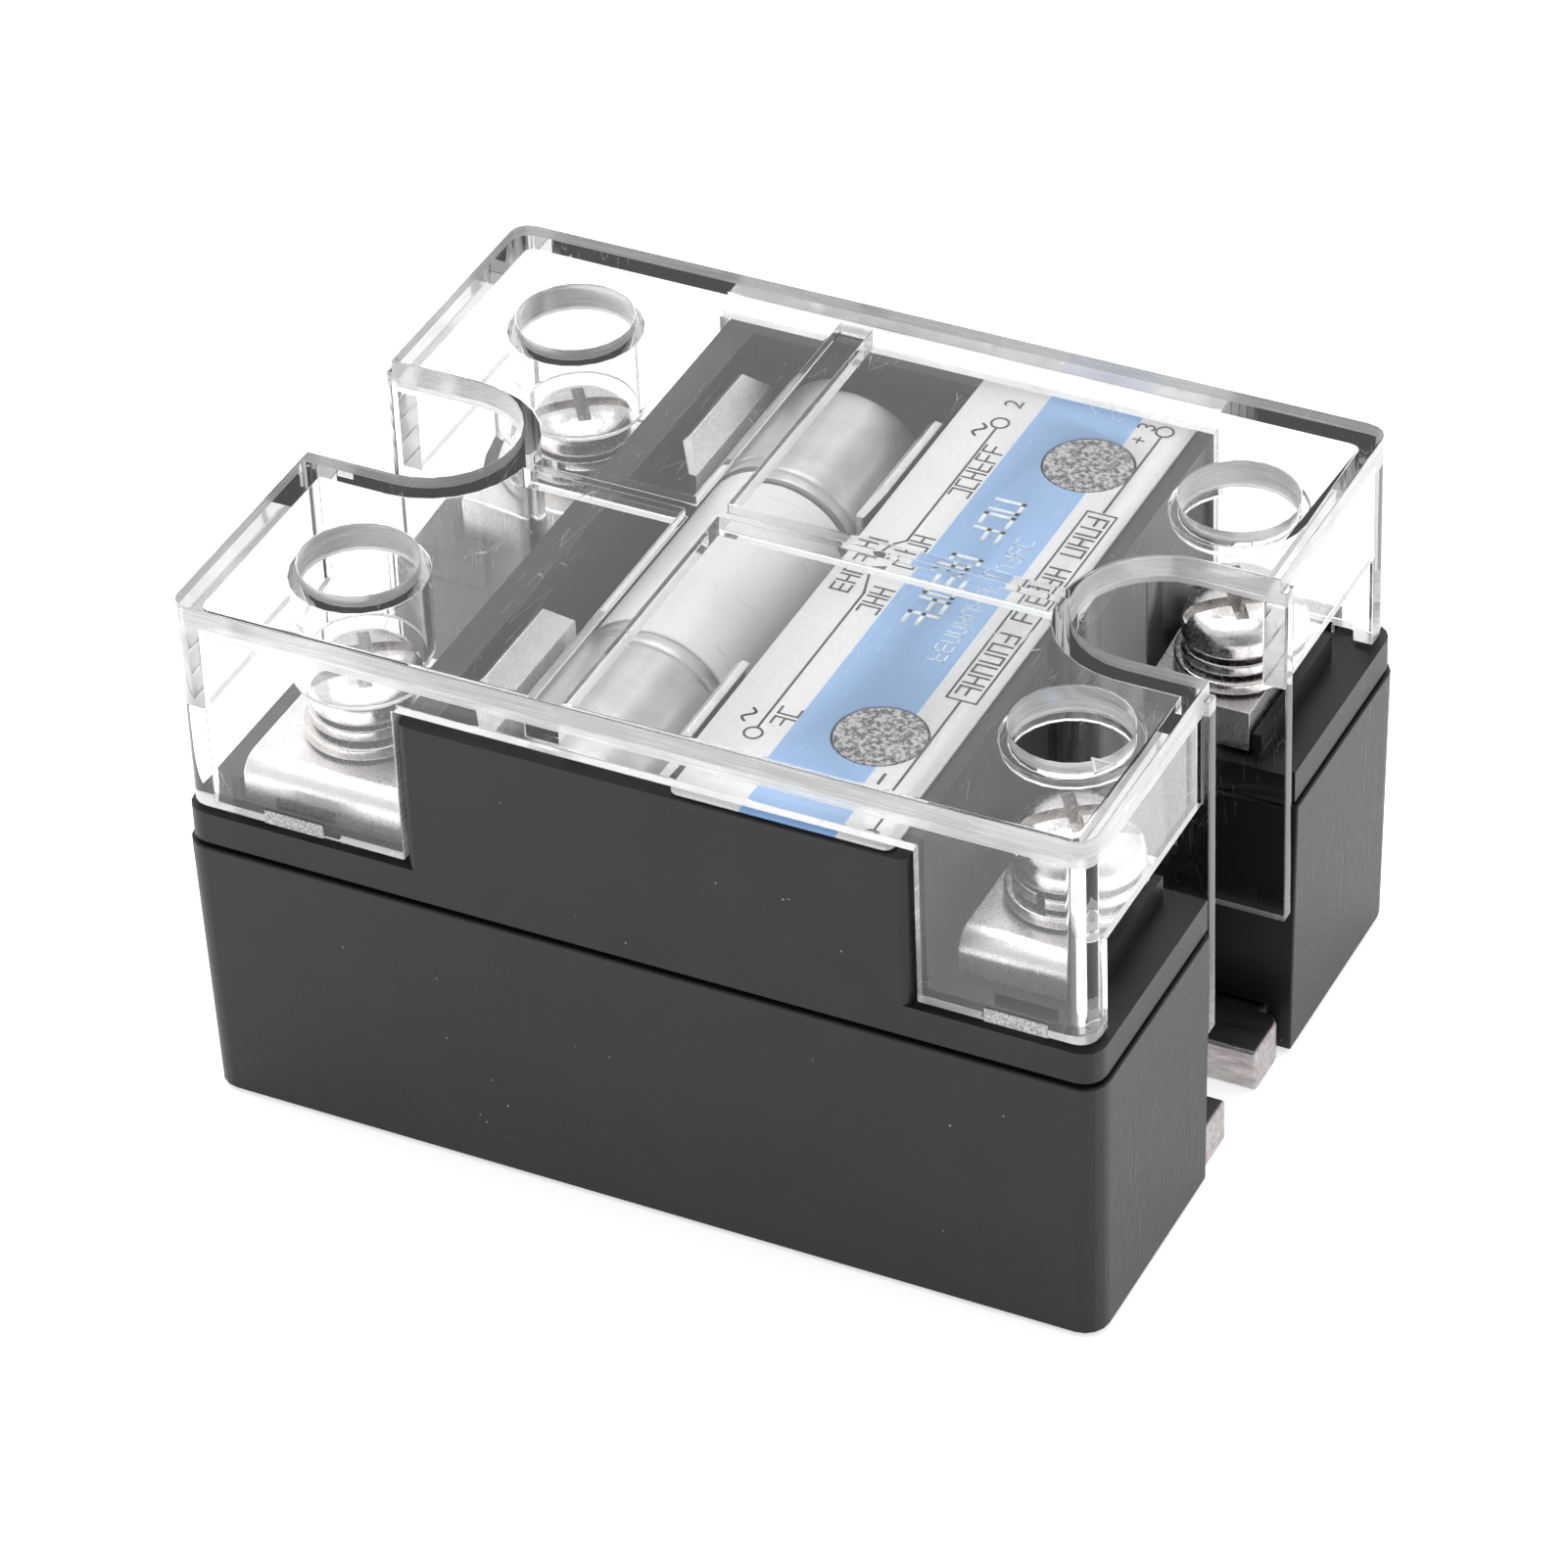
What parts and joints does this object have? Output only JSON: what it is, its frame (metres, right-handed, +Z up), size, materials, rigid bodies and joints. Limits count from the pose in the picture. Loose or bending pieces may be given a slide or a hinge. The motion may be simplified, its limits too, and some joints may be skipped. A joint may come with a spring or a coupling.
{
  "type": "solid state relay",
  "caption": "Panel-mount solid state relay: metal base plate, black two-part case, screw terminals, cartridge fuse in spring clips, and a clear lift-off cover.",
  "frame": {"origin": "centre of the base plate's underside", "axes": "+X along the length towards the control terminals 3 and 4, +Y across the width towards terminals 2 and 3, +Z up through the cover"},
  "size_m": [0.06, 0.0454, 0.0365],
  "materials": {
    "black_plastic": "fine spark-eroded satin",
    "clear_plastic": "clear polycarbonate, glossy, lightly scratched",
    "aluminium": "bare, as rolled and sheared",
    "tinned_brass": "tin-plated, satin",
    "plated_steel": "bright nickel plate",
    "copper": "bare copper",
    "ceramic": "white fired ceramic, half gloss",
    "label_paper": "white printed film",
    "frosted_grey": "frosted, speckled",
    "chip_grey": "polished silicon",
    "board_green": "solder mask",
    "component_black": "moulded",
    "resistor_blue": "lacquer",
    "capacitor_yellow": "moulded",
    "led_red": "tinted lens",
    "resin": "cast, glossy"
  },
  "bodies": {
    "root": {"base_plate": "aluminium", "blank_window": "frosted_grey", "ceramic_substrate": "ceramic", "chip_bridge_1": "copper", "chip_bridge_2": "copper", "clip_rivet_front": "tinned_brass", "clip_rivet_rear": "tinned_brass", "control_board": "board_green", "copper_pad_1": "copper", "copper_pad_2": "copper", "fuse_busbar": "copper", "fuse_clip_front": "tinned_brass", "fuse_clip_rear": "tinned_brass", "gate_resistor_1": "resistor_blue", "gate_resistor_2": "resistor_blue", "gate_wire_1": "resistor_blue", "gate_wire_2": "resistor_blue", "indicator_led": "led_red", "input_lead_3": "tinned_brass", "input_lead_4": "tinned_brass", "input_resistor": "resistor_blue", "label": "label_paper", "led_window": "frosted_grey", "load_busbar_1": "copper", "load_busbar_2": "copper", "lower_case": "black_plastic", "optocoupler": "component_black", "potting_resin": "resin", "snubber_capacitor": "capacitor_yellow", "snubber_resistor": "ceramic", "terminal_1": "tinned_brass", "terminal_2": "tinned_brass", "terminal_3": "tinned_brass", "terminal_4": "tinned_brass", "thyristor_1": "chip_grey", "thyristor_2": "chip_grey", "upper_case": "black_plastic"},
    "cover": {"clear_cover": "clear_plastic"},
    "fuse": {"fuse_tube": "ceramic", "fuse_link": "copper", "fuse_cap_front": "plated_steel", "fuse_cap_rear": "plated_steel"},
    "washers_1": {"flat_washer_1": "plated_steel", "spring_washer_1": "plated_steel"},
    "screw_1": {"terminal_screw_1": "plated_steel"},
    "washers_2": {"flat_washer_2": "plated_steel", "spring_washer_2": "plated_steel"},
    "screw_2": {"terminal_screw_2": "plated_steel"},
    "washers_3": {"flat_washer_3": "plated_steel", "spring_washer_3": "plated_steel"},
    "screw_3": {"terminal_screw_3": "plated_steel"},
    "washers_4": {"flat_washer_4": "plated_steel", "spring_washer_4": "plated_steel"},
    "screw_4": {"terminal_screw_4": "plated_steel"}
  },
  "joints": [
    {"name": "cover_lift", "type": "slide", "parent": "root", "child": "cover", "axis": [0, 0, 1], "range_m": [0, 0.04]},
    {"name": "fuse_lift", "type": "slide", "parent": "root", "child": "fuse", "axis": [0, 0, 1], "range_m": [0, 0.02]},
    {"name": "screw_1_rise", "type": "slide", "parent": "root", "child": "washers_1", "axis": [0, 0, 1], "range_m": [0, 0.0021]},
    {"name": "screw_1_turn", "type": "hinge", "parent": "washers_1", "child": "screw_1", "pos_m": [-0.0213, -0.014, 0.027], "axis": [0, 0, 1], "range_deg": [0, 1080]},
    {"name": "screw_2_rise", "type": "slide", "parent": "root", "child": "washers_2", "axis": [0, 0, 1], "range_m": [0, 0.0021]},
    {"name": "screw_2_turn", "type": "hinge", "parent": "washers_2", "child": "screw_2", "pos_m": [-0.0213, 0.014, 0.027], "axis": [0, 0, 1], "range_deg": [0, 1080]},
    {"name": "screw_3_rise", "type": "slide", "parent": "root", "child": "washers_3", "axis": [0, 0, 1], "range_m": [0, 0.0021]},
    {"name": "screw_3_turn", "type": "hinge", "parent": "washers_3", "child": "screw_3", "pos_m": [0.0238, 0.0122, 0.027], "axis": [0, 0, 1], "range_deg": [0, 1080]},
    {"name": "screw_4_rise", "type": "slide", "parent": "root", "child": "washers_4", "axis": [0, 0, 1], "range_m": [0, 0.0021]},
    {"name": "screw_4_turn", "type": "hinge", "parent": "washers_4", "child": "screw_4", "pos_m": [0.0238, -0.0122, 0.027], "axis": [0, 0, 1], "range_deg": [0, 1080]}
  ],
  "couplings": [
    {"joint": "fuse_lift", "follows": "cover_lift", "ratio": 0.5},
    {"joint": "screw_1_turn", "follows": "screw_1_rise", "rad_per_m": 8976},
    {"joint": "screw_2_turn", "follows": "screw_2_rise", "rad_per_m": 8976},
    {"joint": "screw_3_turn", "follows": "screw_3_rise", "rad_per_m": 8976},
    {"joint": "screw_4_turn", "follows": "screw_4_rise", "rad_per_m": 8976}
  ]
}
